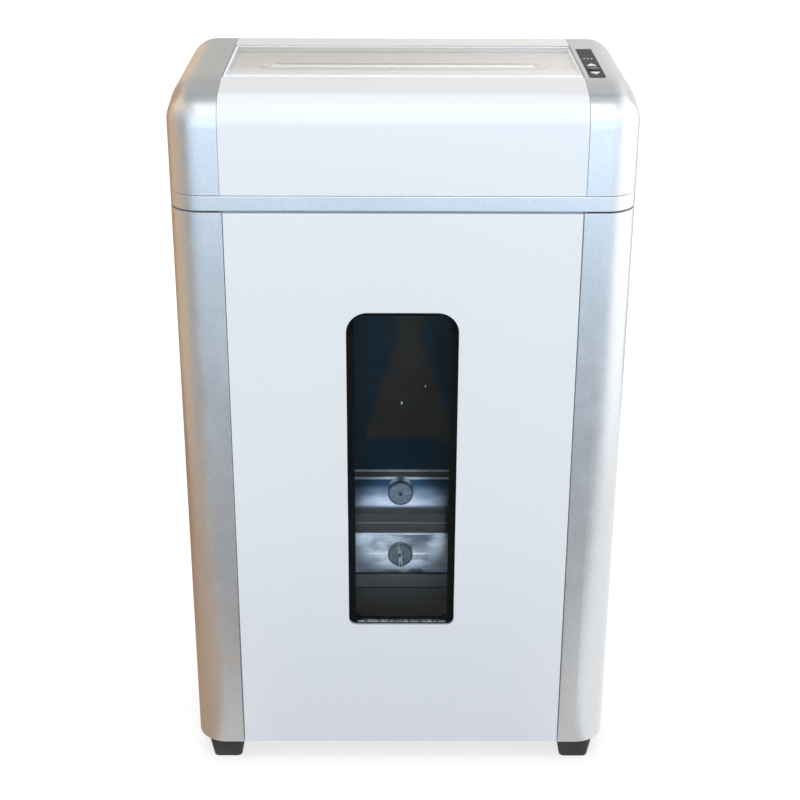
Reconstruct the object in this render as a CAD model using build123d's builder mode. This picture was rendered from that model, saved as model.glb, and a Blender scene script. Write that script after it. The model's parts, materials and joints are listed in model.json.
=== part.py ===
from build123d import *
import math
import os

os.makedirs("parts", exist_ok=True)

# ------------------------------------------------------------------ driving dimensions (mm)
W, D = 384.0, 256.0            # overall width and depth
XO, YO = W / 2, D / 2
Z_TOP = 640.0                  # flat top of the head
R_PLAN = 28.0                  # vertical corner radius of cabinet and head
R_TOP = 24.0                   # radius of the head's upper rim
WALL = 3.0

FOOT_H = 20.5                  # feet, floor to base
Z_CAB0, Z_CAB1 = 20.5, 539.8   # side shells
Z_COL0, Z_COL1 = 541.1, 554.0  # collar band
Z_HEAD0 = 554.35               # lower edge of the head covers
COL_X = 147.8                  # inner edge of the corner columns
SEAM0, SEAM1 = 148.7, 148.95   # seam between the top cover and the end caps

DOOR_X = 147.35                # half width of the bin front
DOOR_Z0, DOOR_Z1 = 21.0, 539.6
WIN_X, WIN_Z0, WIN_Z1 = 47.6, 149.5, 453.2
BEZ_X = 41.4

APRON_Y, NOSE_Z = -76.0, 630.0  # sloping apron in front of the feed deck
SLOPE_Y, REAR_Z = 88.0, 618.0   # rear slope behind it
DECK_Y0, DECK_Y1, DECK_Z = -76.0, 52.5, 635.0
LIP_Z = 636.4                  # top of the lip round the slot mouth

FLAP_Y, FLAP_Z, FLAP_R = 47.7, 637.1, 2.6   # flap hinge axis

SLOT_Y = -13.0                 # centre of the feed slot
CUT_Z = 590.0                  # cutter shafts
CUT_A = 34.0                   # distance between the cutter shafts
FRONT_Y, REAR_Y = SLOT_Y - CUT_A / 2, SLOT_Y + CUT_A / 2
DISC_R, CORE_R, JOURNAL_R = 20.0, 12.0, 8.0
DISC_T, DISC_P, N_REAR = 4.0, 8.6, 26
PLATE_X = 118.0                # inner face of the mechanism side plates
PLATE_T = 3.0

M_SYNC, N_SYNC = 2.0, 17       # equal gears that tie the two cutter shafts
M_FIN, N_FIN, N_IDP = 1.5, 34, 12
M_MOT, N_IDG, N_MOT = 1.0, 54, 12
IDLE_ANG = math.radians(10.0)
IDLE_Y = REAR_Y + M_FIN * (N_FIN + N_IDP) / 2 * math.cos(IDLE_ANG)
IDLE_Z = CUT_Z + M_FIN * (N_FIN + N_IDP) / 2 * math.sin(IDLE_ANG)
MOT_Z = 592.0
MOT_A = M_MOT * (N_IDG + N_MOT) / 2
MOT_Y = IDLE_Y + math.sqrt(MOT_A ** 2 - (MOT_Z - IDLE_Z) ** 2)
MOT_R = 33.0

STRIP_X, STRIP_W = 159.4, 14.0
STRIP_Y0, STRIP_Y1, STRIP_Z = -76.0, 40.0, 639.6
FWD_Y, STOP_Y, REV_Y = -28.0, -44.5, -61.0
LED_Y = -1.5

print("idler", round(IDLE_Y, 4), round(IDLE_Z, 4), "motor", round(MOT_Y, 4), MOT_Z)


# ------------------------------------------------------------------ helpers
def span(x0, x1, y0, y1, z0, z1, mode=Mode.ADD):
    with Locations(((x0 + x1) / 2, (y0 + y1) / 2, (z0 + z1) / 2)):
        Box(x1 - x0, y1 - y0, z1 - z0, mode=mode)


def rod_x(y, z, r, x0, x1, mode=Mode.ADD):
    with Locations(((x0 + x1) / 2, y, z)):
        Cylinder(r, x1 - x0, rotation=(0, 90, 0), mode=mode)


def rod_y(x, z, r, y0, y1, mode=Mode.ADD):
    with Locations((x, (y0 + y1) / 2, z)):
        Cylinder(r, y1 - y0, rotation=(90, 0, 0), mode=mode)


def rod_z(x, y, r, z0, z1, mode=Mode.ADD):
    with Locations((x, y, (z0 + z1) / 2)):
        Cylinder(r, z1 - z0, mode=mode)


def gear_points(m, n, cy, cz, phase, slack=0.16):
    """Outline of a spur gear with involute flanks, a tooth centred on the angle phase."""
    pa = math.radians(25.0)
    rp = m * n / 2
    rb = rp * math.cos(pa)
    ra = rp + 0.90 * m
    rf = rp - 1.20 * m
    half = math.pi / (2 * n) - slack / (2 * rp)
    inv_p = math.tan(pa) - pa
    flank = []
    r0 = max(rb, rf)
    for i in range(7):
        r = r0 + (ra - r0) * i / 6
        t = math.acos(min(1.0, rb / r))
        flank.append((r, half + inv_p - (math.tan(t) - t)))
    pts = []
    for k in range(n):
        c = phase + 2 * math.pi * k / n
        left = [(rf, flank[0][1])] + flank if rf < r0 - 1e-6 else flank
        for r, a in left:
            pts.append((cy + r * math.cos(c - a), cz + r * math.sin(c - a)))
        for r, a in reversed(left):
            pts.append((cy + r * math.cos(c + a), cz + r * math.sin(c + a)))
    return pts


def head_form(t, bottom):
    """The head's outer form, inset by t: apron, flat top, rear slope, all rims rounded."""
    a = math.atan2(Z_TOP - NOSE_Z, APRON_Y + YO)
    b = math.atan2(Z_TOP - REAR_Z, YO - SLOPE_Y)
    zt = Z_TOP - t
    yf, yr = -YO + t, YO - t
    zf = NOSE_Z + t * math.tan(a) - t / math.cos(a)
    zr = REAR_Z + t * math.tan(b) - t / math.cos(b)
    ya = -YO + (zt - NOSE_Z + t / math.cos(a)) / math.tan(a)
    ys = YO - (zt - REAR_Z + t / math.cos(b)) / math.tan(b)
    with BuildPart() as form:
        with BuildSketch(Plane.YZ.offset(-(XO - t))):
            with BuildLine():
                Polyline((yf, bottom), (yf, zf), (ya, zt), (ys, zt), (yr, zr), (yr, bottom), close=True)
            make_face()
        extrude(amount=2 * (XO - t))
        ridges = [e for e in form.edges().filter_by(Axis.X)
                  if abs(e.center().Z - zt) < 0.01]
        fillet([e for e in ridges if e.center().Y < 0], 110.0 - t)
        fillet([e for e in form.edges().filter_by(Axis.X)
                if abs(e.center().Z - zt) < 0.01 and e.center().Y > ys - 2.0], 30.0 - t)
        fillet(form.edges().filter_by(Axis.Z), R_PLAN - t)
        keep = []
        for e in form.edges():
            c = e.center()
            if c.Z < bottom + 1.0:
                continue
            p, q = e.position_at(0), e.position_at(1)
            if abs(p.X - q.X) < 0.01 and abs(p.Y - q.Y) < 0.01:
                continue
            if abs(p.Y - q.Y) < 0.01 and abs(p.Z - q.Z) < 0.01 and abs(c.Y) < YO - t - 1.0:
                continue
            keep.append(e)
        fillet(keep, R_TOP - t)
    return form.part


head_outer = head_form(0.0, Z_HEAD0)
head_inner = head_form(WALL, Z_HEAD0 - 1.0)

# ------------------------------------------------------------------ cabinet
REAR_SCREWS = [(sx * (COL_X - 7.0), z) for sx in (-1, 1) for z in (60.0, 280.0, 500.0)]

with BuildPart() as right_side_shell:
    with BuildSketch(Plane.XY.offset(Z_CAB0)):
        RectangleRounded(W, D, R_PLAN)
        RectangleRounded(W - 2 * WALL, D - 2 * WALL, R_PLAN - WALL, mode=Mode.SUBTRACT)
        with Locations((COL_X - 300.0, 0)):
            Rectangle(600.0, D + 20, mode=Mode.SUBTRACT)
        with Locations((COL_X + 1.5, -YO + 17.0)):
            Rectangle(3.0, 34.0)
        with Locations((COL_X + 1.5, YO - 3.0)):
            Rectangle(3.0, 6.0)
        with Locations((COL_X - 5.5, YO - 4.5)):
            Rectangle(17.0, 3.0)
    extrude(amount=Z_CAB1 - Z_CAB0)
    front_corner = [e for e in right_side_shell.edges().filter_by(Axis.Z)
                    if abs(e.center().X - COL_X) < 0.01 and abs(e.center().Y + YO) < 0.01]
    fillet(front_corner, 0.6)
    for x, z in REAR_SCREWS:
        if x > 0:
            rod_y(x, z, 1.7, 120.0, 126.0, mode=Mode.SUBTRACT)
right_side_shell.part.label = "right_side_shell"
export_step(right_side_shell.part, "parts/right_side_shell.step")

with BuildPart() as left_side_shell:
    mirror(right_side_shell.part, about=Plane.YZ)
left_side_shell.part.label = "left_side_shell"
export_step(left_side_shell.part, "parts/left_side_shell.step")

with BuildPart() as rear_panel:
    span(-147.3, 147.3, 125.0, 128.0, 21.0, 539.0)
    with BuildSketch(Plane.XZ.offset(-128.0)):
        with Locations((0, 280.0)):
            RectangleRounded(240.0, 400.0, 12.0)
    extrude(amount=1.0, mode=Mode.SUBTRACT)
    for x, z in REAR_SCREWS:
        rod_y(x, z, 4.5, 126.0, 129.0, mode=Mode.SUBTRACT)
        rod_y(x, z, 1.7, 124.0, 129.0, mode=Mode.SUBTRACT)
rear_panel.part.label = "rear_panel"
export_step(rear_panel.part, "parts/rear_panel.step")

with BuildPart() as rear_panel_screws:
    for x, z in REAR_SCREWS:
        rod_y(x, z, 4.0, 126.0, 127.8)
        rod_y(x, z, 1.5, 117.0, 126.5)
        span(x - 2.4, x + 2.4, 127.2, 128.0, z - 0.4, z + 0.4, mode=Mode.SUBTRACT)
        span(x - 0.4, x + 0.4, 127.2, 128.0, z - 2.4, z + 2.4, mode=Mode.SUBTRACT)
rear_panel_screws.part.label = "rear_panel_screws"
export_step(rear_panel_screws.part, "parts/rear_panel_screws.step")

FEET = [(sx * 164.5, sy * 108.5) for sx in (-1, 1) for sy in (-1, 1)]

with BuildPart() as base_tray:
    with BuildSketch(Plane.XY.offset(FOOT_H)):
        RectangleRounded(2 * (XO - WALL), 2 * (YO - WALL), R_PLAN - 1.0)
        with Locations((0, -YO + 4.3)):
            Rectangle(2 * 147.4, 8.6, mode=Mode.SUBTRACT)
        for s in (-1, 1):
            with Locations((s * 149.3, -YO + 17.2)):
                Rectangle(3.8, 34.4, mode=Mode.SUBTRACT)
        with Locations((0, YO - 3.2)):
            Rectangle(2 * 151.2, 6.4, mode=Mode.SUBTRACT)
    extrude(amount=6.0)
    for x, y in FEET:
        rod_z(x, y, 2.1, FOOT_H - 1, FOOT_H + 5.5, mode=Mode.SUBTRACT)
base_tray.part.label = "base_tray"
export_step(base_tray.part, "parts/base_tray.step")

with BuildPart() as feet:
    for x, y in FEET:
        with BuildSketch(Plane((x, y, 0))):
            RectangleRounded(26.5, 26.5, 5.0)
        with BuildSketch(Plane((x, y, FOOT_H))):
            RectangleRounded(34.0, 34.0, 8.0)
        loft()
    for x, y in FEET:
        rod_z(x, y, 5.0, -1.0, 12.0, mode=Mode.SUBTRACT)
        rod_z(x, y, 2.2, 11.0, 22.0, mode=Mode.SUBTRACT)
feet.part.label = "feet"
export_step(feet.part, "parts/feet.step")

with BuildPart() as foot_screws:
    for x, y in FEET:
        rod_z(x, y, 4.3, 9.2, 12.0)
        rod_z(x, y, 2.0, 11.5, 25.5)
        span(x - 2.5, x + 2.5, y - 0.5, y + 0.5, 9.0, 10.4, mode=Mode.SUBTRACT)
foot_screws.part.label = "foot_screws"
export_step(foot_screws.part, "parts/foot_screws.step")

with BuildPart() as guide_rails:
    for s in (-1, 1):
        span(s * 121.0 - 3.0, s * 121.0 + 3.0, -112.0, 112.0, 26.5, 43.8)
        span(s * 121.0 - 8.0, s * 121.0 + 8.0, -112.0, 112.0, 26.5, 29.5)
guide_rails.part.label = "guide_rails"
export_step(guide_rails.part, "parts/guide_rails.step")

HEAD_SCREWS = [(sx * 135.0, y) for sx in (-1, 1) for y in (-112.0, 116.5)] + \
              [(sx * 172.0, y) for sx in (-1, 1) for y in (-84.0, 92.0)]

with BuildPart() as top_frame:
    with BuildSketch(Plane.XY.offset(531.0)):
        RectangleRounded(2 * (XO - WALL), 2 * (YO - WALL), R_PLAN - 1.0)
        with Locations((0, -YO + 17.2)):
            Rectangle(W, 34.4, mode=Mode.SUBTRACT)
        with Locations((0, YO - 3.2)):
            Rectangle(W, 6.4, mode=Mode.SUBTRACT)
    extrude(amount=9.6)
    with BuildSketch(Plane.XY.offset(540.6)):
        RectangleRounded(2 * (XO - WALL), 2 * (YO - WALL), R_PLAN - 1.0)
    extrude(amount=4.6)
    span(-141.0, 141.0, -90.0, 110.0, 500.0, 560.0, mode=Mode.SUBTRACT)
    for x, y in HEAD_SCREWS:
        rod_z(x, y, 2.2, 530.0, 550.0, mode=Mode.SUBTRACT)
        rod_z(x, y, 4.6, 530.0, 540.6, mode=Mode.SUBTRACT)
top_frame.part.label = "top_frame"
export_step(top_frame.part, "parts/top_frame.step")

with BuildPart() as collar:
    with BuildSketch(Plane.XY.offset(Z_COL0)):
        RectangleRounded(W, D, R_PLAN)
        RectangleRounded(W - 2 * WALL, D - 2 * WALL, R_PLAN - WALL, mode=Mode.SUBTRACT)
    extrude(amount=Z_COL1 - Z_COL0)
    outer_rims = [e for e in collar.edges() if (abs(e.center().Z - Z_COL0) < 0.01 or abs(e.center().Z - Z_COL1) < 0.01)
                  and (abs(abs(e.center().X) - XO) < 0.01 or abs(abs(e.center().Y) - YO) < 0.01
                       or math.hypot(abs(e.center().X) - (XO - R_PLAN), abs(e.center().Y) - (YO - R_PLAN)) > R_PLAN - 0.5)]
    fillet(outer_rims, 0.8)
collar.part.label = "collar"
export_step(collar.part, "parts/collar.step")

# ------------------------------------------------------------------ head covers
COVER_POSTS = [p for p in HEAD_SCREWS if abs(p[0]) < 148]
CAP_POSTS = [p for p in HEAD_SCREWS if abs(p[0]) > 148]

with BuildPart() as cover_posts:
    with BuildSketch(Plane.XY.offset(Z_HEAD0)):
        with Locations(*COVER_POSTS):
            Circle(4.5)
    extrude(amount=95.0)
    add(head_outer, mode=Mode.INTERSECT)
    with BuildSketch(Plane.XY.offset(548.7)):
        with Locations(*COVER_POSTS):
            Circle(4.5)
    extrude(amount=7.0)
    for x, y in COVER_POSTS:
        rod_z(x, y, 2.1, 548.0, 563.0, mode=Mode.SUBTRACT)

with BuildPart() as top_cover:
    add(head_outer)
    add(head_inner, mode=Mode.SUBTRACT)
    span(-SEAM0, SEAM0, -200, 200, 500, 700, mode=Mode.INTERSECT)
    # feed deck, sunk below the flat top
    span(-SEAM0, SEAM0, DECK_Y0 - 3.0, DECK_Y1 + 3.0, DECK_Z - 2.5, DECK_Z + 2.2)
    span(-SEAM0 - 1, SEAM0 + 1, DECK_Y0, DECK_Y1, DECK_Z, Z_TOP + 3, mode=Mode.SUBTRACT)
    span(-SEAM0 - 1, SEAM0 + 1, FLAP_Y - 3.6, DECK_Y1, 633.9, DECK_Z + 1, mode=Mode.SUBTRACT)
    # raised lip round the mouth of the feed slot
    with BuildSketch(Plane.XY.offset(DECK_Z - 0.5)):
        with Locations((0, SLOT_Y)):
            SlotOverall(246.0, 20.0)
    extrude(amount=LIP_Z - DECK_Z + 0.5)
    with BuildSketch(Plane.XY.offset(DECK_Z - 4.0)):
        with Locations((0, SLOT_Y)):
            SlotOverall(232.0, 11.0)
    extrude(amount=8.0, mode=Mode.SUBTRACT)
    rim = [e for e in top_cover.edges() if abs(e.center().Z - LIP_Z) < 0.01 and abs(e.center().Y - SLOT_Y) < 11.0]
    fillet([e for e in rim if abs(e.center().Y - SLOT_Y) > 9.0 or abs(e.center().X) > 120.0], 1.0)
    # the mouth opens out like a funnel, to guide the paper in
    rim = [e for e in top_cover.edges() if abs(e.center().Z - LIP_Z) < 0.01 and abs(e.center().Y - SLOT_Y) < 6.0]
    chamfer([e for e in rim if abs(e.center().X) < 117.0], 2.8)
    # pads that the flap rests on
    for s in (-1, 1):
        span(s * 136 - 5, s * 136 + 5, DECK_Y0, DECK_Y0 + 5.0, DECK_Z - 1.0, 637.0)
    add(cover_posts.part)
    # openings in the back: inlet, switch and motor vents
    span(81.0, 109.0, 120.0, 130.0, 568.0, 588.0, mode=Mode.SUBTRACT)
    span(42.5, 57.5, 120.0, 130.0, 567.0, 589.0, mode=Mode.SUBTRACT)
    for k in range(9):
        with BuildSketch(Plane.XZ.offset(-129.0)):
            with Locations((-108.0 + 9.0 * k, 579.0)):
                SlotOverall(26.0, 4.0, rotation=90)
        extrude(amount=8.0, mode=Mode.SUBTRACT)
top_cover.part.label = "top_cover"
export_step(top_cover.part, "parts/top_cover.step")

with BuildPart() as cap_posts:
    with BuildSketch(Plane.XY.offset(Z_HEAD0)):
        with Locations(*CAP_POSTS):
            Circle(4.5)
    extrude(amount=95.0)
    add(head_outer, mode=Mode.INTERSECT)
    with BuildSketch(Plane.XY.offset(548.7)):
        with Locations(*CAP_POSTS):
            Circle(4.5)
    extrude(amount=7.0)
    for x, y in CAP_POSTS:
        rod_z(x, y, 2.1, 548.0, 563.0, mode=Mode.SUBTRACT)

with BuildPart() as left_end_cap:
    add(head_outer)
    add(head_inner, mode=Mode.SUBTRACT)
    add(cap_posts.part)
    span(-200.0, -SEAM1, -200, 200, 500, 700, mode=Mode.INTERSECT)
    # cheek that closes the side of the feed deck and holds the flap pin
    span(-SEAM1 - 2.5, -SEAM1, DECK_Y0 - 3.0, DECK_Y1 + 3.0, DECK_Z - 2.5, 638.0)
    rod_x(FLAP_Y, FLAP_Z, 1.2, -160.0, -140.0, mode=Mode.SUBTRACT)
left_end_cap.part.label = "left_end_cap"
export_step(left_end_cap.part, "parts/left_end_cap.step")

with BuildPart() as right_end_cap:
    add(head_outer)
    add(head_inner, mode=Mode.SUBTRACT)
    add(cap_posts.part)
    span(SEAM1, 200.0, -200, 200, 500, 700, mode=Mode.INTERSECT)
    span(SEAM1, SEAM1 + 2.5, DECK_Y0 - 3.0, DECK_Y1 + 3.0, DECK_Z - 2.5, 638.0)
    rod_x(FLAP_Y, FLAP_Z, 1.2, 140.0, 160.0, mode=Mode.SUBTRACT)
    with BuildSketch(Plane.XY.offset(630.0)):
        with Locations((STRIP_X, (STRIP_Y0 + STRIP_Y1) / 2)):
            RectangleRounded(STRIP_W, STRIP_Y1 - STRIP_Y0, 2.0)
    extrude(amount=15.0, mode=Mode.SUBTRACT)
right_end_cap.part.label = "right_end_cap"
export_step(right_end_cap.part, "parts/right_end_cap.step")

with BuildPart() as head_chassis:
    with BuildSketch(Plane.XY.offset(545.2)):
        RectangleRounded(W - 6.6, D - 6.6, R_PLAN - 3.3)
    extrude(amount=3.5)
    with BuildSketch(Plane.XY.offset(548.7)):
        RectangleRounded(W - 7.2, D - 7.2, R_PLAN - 3.6)
        RectangleRounded(W - 12.2, D - 12.2, R_PLAN - 6.1, mode=Mode.SUBTRACT)
    extrude(amount=11.3)
    span(-115.0, 115.0, -50.0, 24.0, 540.0, 555.0, mode=Mode.SUBTRACT)
    for x, y in HEAD_SCREWS:
        rod_z(x, y, 2.2, 540.0, 550.0, mode=Mode.SUBTRACT)
    for x, y in [(s * 129.0, yy) for s in (-1, 1) for yy in (-44.0, 30.0)]:
        rod_z(x, y, 2.2, 540.0, 550.0, mode=Mode.SUBTRACT)
head_chassis.part.label = "head_chassis"
export_step(head_chassis.part, "parts/head_chassis.step")

with BuildPart() as head_screws:
    for x, y in HEAD_SCREWS:
        rod_z(x, y, 4.0, 537.6, 540.6)
        rod_z(x, y, 2.0, 540.0, 562.0)
        span(x - 2.3, x + 2.3, y - 0.5, y + 0.5, 537.0, 539.0, mode=Mode.SUBTRACT)
        span(x - 0.5, x + 0.5, y - 2.3, y + 2.3, 537.0, 539.0, mode=Mode.SUBTRACT)
head_screws.part.label = "head_screws"
export_step(head_screws.part, "parts/head_screws.step")

with BuildPart() as feed_throat:
    span(-119.0, 119.0, SLOT_Y - 13.0, SLOT_Y + 13.0, 622.5, DECK_Z - 2.5)
    span(-116.0, 116.0, SLOT_Y - 11.0, SLOT_Y + 11.0, 611.2, 622.5)
    with BuildSketch(Plane.YZ.offset(-112.0)):
        with BuildLine():
            Polyline((SLOT_Y - 5.5, 633.0), (SLOT_Y + 5.5, 633.0), (SLOT_Y + 3.0, 622.0), (SLOT_Y + 3.0, 610.0),
                     (SLOT_Y - 3.0, 610.0), (SLOT_Y - 3.0, 622.0), close=True)
        make_face()
    extrude(amount=224.0, mode=Mode.SUBTRACT)
feed_throat.part.label = "feed_throat"
export_step(feed_throat.part, "parts/feed_throat.step")

with BuildPart() as paper_sensors:
    span(-7.0, 7.0, SLOT_Y - 19.0, SLOT_Y - 13.0, 623.5, 631.5)
    span(-7.0, 7.0, SLOT_Y + 13.0, SLOT_Y + 19.0, 623.5, 631.5)
paper_sensors.part.label = "paper_sensors"
export_step(paper_sensors.part, "parts/paper_sensors.step")

# ------------------------------------------------------------------ clear flap over the feed deck
with BuildPart() as feed_flap:
    span(-147.7, 147.7, -75.2, FLAP_Y, 637.2, 639.7)
    rod_x(FLAP_Y, FLAP_Z, FLAP_R, -147.7, 147.7)
    front_edge = [e for e in feed_flap.edges().filter_by(Axis.X) if abs(e.center().Y + 75.2) < 0.01]
    fillet(front_edge, 0.7)
    rod_x(FLAP_Y, FLAP_Z, 1.25, 139.0, 148.5, mode=Mode.SUBTRACT)
    rod_x(FLAP_Y, FLAP_Z, 1.25, -148.5, -139.0, mode=Mode.SUBTRACT)
feed_flap.part.label = "feed_flap"
export_step(feed_flap.part, "parts/feed_flap.step")

with BuildPart() as flap_pins:
    rod_x(FLAP_Y, FLAP_Z, 1.2, 139.6, SEAM1 + 2.5)
    rod_x(FLAP_Y, FLAP_Z, 1.2, -SEAM1 - 2.5, -139.6)
flap_pins.part.label = "flap_pins"
export_step(flap_pins.part, "parts/flap_pins.step")

# ------------------------------------------------------------------ control strip
ARROW = 3.9


def arrow(y, d, grow=0.0):
    """Corner points of an arrow-shaped key that points along d."""
    g = grow
    return [(STRIP_X - ARROW - 1.7 * g, y - d * (3.8 + g)), (STRIP_X + ARROW + 1.7 * g, y - d * (3.8 + g)),
            (STRIP_X, y + d * (3.8 + 2.2 * g))]


with BuildPart() as control_strip:
    with BuildSketch(Plane.XY.offset(634.6)):
        with Locations((STRIP_X, (STRIP_Y0 + STRIP_Y1) / 2)):
            RectangleRounded(STRIP_W - 0.3, STRIP_Y1 - STRIP_Y0 - 0.3, 1.9)
    extrude(amount=STRIP_Z - 634.6)
    span(151.8, 167.2, -62.0, 42.0, 634.6, 637.0)
    for y in (-71.0, 34.0):
        rod_z(STRIP_X, y, 2.6, 622.6, 635.0)
        rod_z(STRIP_X, y, 1.1, 622.0, 631.0, mode=Mode.SUBTRACT)
    for y, d in ((FWD_Y, 1), (REV_Y, -1)):
        with BuildSketch(Plane.XY.offset(630.0)):
            with BuildLine():
                Polyline(*arrow(y, d, 0.35), close=True)
            make_face()
        extrude(amount=15.0, mode=Mode.SUBTRACT)
    rod_z(STRIP_X, STOP_Y, 5.3, 630.0, 645.0, mode=Mode.SUBTRACT)
    for k in (-1, 0, 1):
        rod_z(STRIP_X + 3.2 * k, LED_Y, 1.2, 630.0, 645.0, mode=Mode.SUBTRACT)
control_strip.part.label = "control_strip"
export_step(control_strip.part, "parts/control_strip.step")

with BuildPart() as forward_button:
    with BuildSketch(Plane.XY.offset(634.0)):
        with BuildLine():
            Polyline(*arrow(FWD_Y, 1), close=True)
        make_face()
    extrude(amount=6.6)
    fillet(forward_button.edges().group_by(Axis.Z)[-1], 0.4)
    rod_z(STRIP_X, FWD_Y, 5.4, 632.3, 634.2)
    rod_z(STRIP_X, FWD_Y, 1.8, 630.9, 632.8)
forward_button.part.label = "forward_button"
export_step(forward_button.part, "parts/forward_button.step")

with BuildPart() as stop_button:
    rod_z(STRIP_X, STOP_Y, 5.0, 634.0, 641.0)
    fillet(stop_button.edges().group_by(Axis.Z)[-1], 1.0)
    rod_z(STRIP_X, STOP_Y, 6.2, 632.3, 634.2)
    rod_z(STRIP_X, STOP_Y, 1.8, 630.9, 632.8)
stop_button.part.label = "stop_button"
export_step(stop_button.part, "parts/stop_button.step")

with BuildPart() as reverse_button:
    with BuildSketch(Plane.XY.offset(634.0)):
        with BuildLine():
            Polyline(*arrow(REV_Y, -1), close=True)
        make_face()
    extrude(amount=6.6)
    fillet(reverse_button.edges().group_by(Axis.Z)[-1], 0.4)
    rod_z(STRIP_X, REV_Y, 5.4, 632.3, 634.2)
    rod_z(STRIP_X, REV_Y, 1.8, 630.9, 632.8)
reverse_button.part.label = "reverse_button"
export_step(reverse_button.part, "parts/reverse_button.step")

with BuildPart() as light_pipe:
    span(STRIP_X - 5.5, STRIP_X + 5.5, LED_Y - 3.0, LED_Y + 3.0, 632.6, 634.6)
    for k in (-1, 0, 1):
        rod_z(STRIP_X + 3.2 * k, LED_Y, 1.05, 634.0, STRIP_Z + 0.1)
        rod_z(STRIP_X + 3.2 * k, LED_Y, 1.05, 628.4, 633.0)
light_pipe.part.label = "light_pipe"
export_step(light_pipe.part, "parts/light_pipe.step")

with BuildPart() as control_board:
    span(152.5, 176.0, -78.0, 42.0, 621.0, 622.6)
    for y in (-71.0, 34.0):
        rod_z(STRIP_X, y, 1.3, 620.0, 624.0, mode=Mode.SUBTRACT)
control_board.part.label = "control_board"
export_step(control_board.part, "parts/control_board.step")

with BuildPart() as control_board_parts:
    for y in (FWD_Y, STOP_Y, REV_Y):
        span(STRIP_X - 3, STRIP_X + 3, y - 3, y + 3, 622.6, 626.6)
        rod_z(STRIP_X, y, 1.7, 626.0, 629.5)
    for k in (-1, 0, 1):
        rod_z(STRIP_X + 3.2 * k, LED_Y, 1.4, 622.6, 627.8)
    span(168.0, 175.0, 10.0, 28.0, 622.6, 630.6)
    span(168.0, 174.0, -22.0, -6.0, 622.6, 625.0)
control_board_parts.part.label = "control_board_parts"
export_step(control_board_parts.part, "parts/control_board_parts.step")

with BuildPart() as control_board_screws:
    for y in (-71.0, 34.0):
        rod_z(STRIP_X, y, 2.4, 619.2, 621.0)
        rod_z(STRIP_X, y, 1.0, 620.5, 629.5)
control_board_screws.part.label = "control_board_screws"
export_step(control_board_screws.part, "parts/control_board_screws.step")

# ------------------------------------------------------------------ cutting mechanism
RODS = [(-52.0, 613.0), (-52.0, 561.0), (34.0, 613.0), (34.0, 561.0)]

with BuildPart() as right_side_plate:
    span(PLATE_X, PLATE_X + PLATE_T, -62.0, 44.0, 548.7, 618.5)
    span(PLATE_X, PLATE_X + 18.0, -62.0, 44.0, 548.7, 551.7)
    for y in (FRONT_Y, REAR_Y):
        rod_x(y, CUT_Z, 11.0, 110.0, 130.0, mode=Mode.SUBTRACT)
    for y, z in RODS:
        rod_x(y, z, 3.1, 110.0, 130.0, mode=Mode.SUBTRACT)
    for y in (-44.0, 30.0):
        rod_z(129.0, y, 2.2, 540.0, 560.0, mode=Mode.SUBTRACT)
right_side_plate.part.label = "right_side_plate"
export_step(right_side_plate.part, "parts/right_side_plate.step")

MOTOR_SCREWS = [(MOT_Y, MOT_Z + 22.0), (MOT_Y, MOT_Z - 22.0)]

with BuildPart() as left_side_plate:
    span(-PLATE_X - PLATE_T, -PLATE_X, -62.0, 106.0, 548.7, 618.5)
    span(-PLATE_X - 18.0, -PLATE_X, -62.0, 106.0, 548.7, 551.7)
    for y in (FRONT_Y, REAR_Y):
        rod_x(y, CUT_Z, 11.0, -130.0, -110.0, mode=Mode.SUBTRACT)
    for y, z in RODS:
        rod_x(y, z, 3.1, -130.0, -110.0, mode=Mode.SUBTRACT)
    for y in (-44.0, 30.0):
        rod_z(-129.0, y, 2.2, 540.0, 560.0, mode=Mode.SUBTRACT)
    rod_x(IDLE_Y, IDLE_Z, 4.0, -130.0, -110.0, mode=Mode.SUBTRACT)
    rod_x(MOT_Y, MOT_Z, 10.5, -130.0, -110.0, mode=Mode.SUBTRACT)
    for y, z in MOTOR_SCREWS:
        rod_x(y, z, 2.2, -130.0, -110.0, mode=Mode.SUBTRACT)
left_side_plate.part.label = "left_side_plate"
export_step(left_side_plate.part, "parts/left_side_plate.step")

with BuildPart() as tie_rods:
    for y, z in RODS:
        rod_x(y, z, 4.5, -PLATE_X, PLATE_X)
        rod_x(y, z, 3.0, -127.0, 127.0)
tie_rods.part.label = "tie_rods"
export_step(tie_rods.part, "parts/tie_rods.step")

with BuildPart() as tie_rod_nuts:
    for y, z in RODS:
        for x0 in (PLATE_X + PLATE_T, -PLATE_X - PLATE_T - 4.8):
            with BuildSketch(Plane.YZ.offset(x0)):
                with Locations((y, z)):
                    RegularPolygon(5.0, 6, major_radius=False)
                    Circle(3.0, mode=Mode.SUBTRACT)
            extrude(amount=4.8)
tie_rod_nuts.part.label = "tie_rod_nuts"
export_step(tie_rod_nuts.part, "parts/tie_rod_nuts.step")

with BuildPart() as shaft_bushes:
    for y in (FRONT_Y, REAR_Y):
        for x0 in (PLATE_X - 1.5, -PLATE_X - PLATE_T):
            rod_x(y, CUT_Z, 11.0, x0, x0 + PLATE_T + 1.5)
    for y in (FRONT_Y, REAR_Y):
        rod_x(y, CUT_Z, JOURNAL_R + 0.05, -130.0, 130.0, mode=Mode.SUBTRACT)
shaft_bushes.part.label = "shaft_bushes"
export_step(shaft_bushes.part, "parts/shaft_bushes.step")

REAR_X = [-(N_REAR - 1) * DISC_P / 2 + DISC_P * i for i in range(N_REAR)]
FRONT_X = [x + DISC_P / 2 for x in REAR_X[:-1]]


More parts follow.
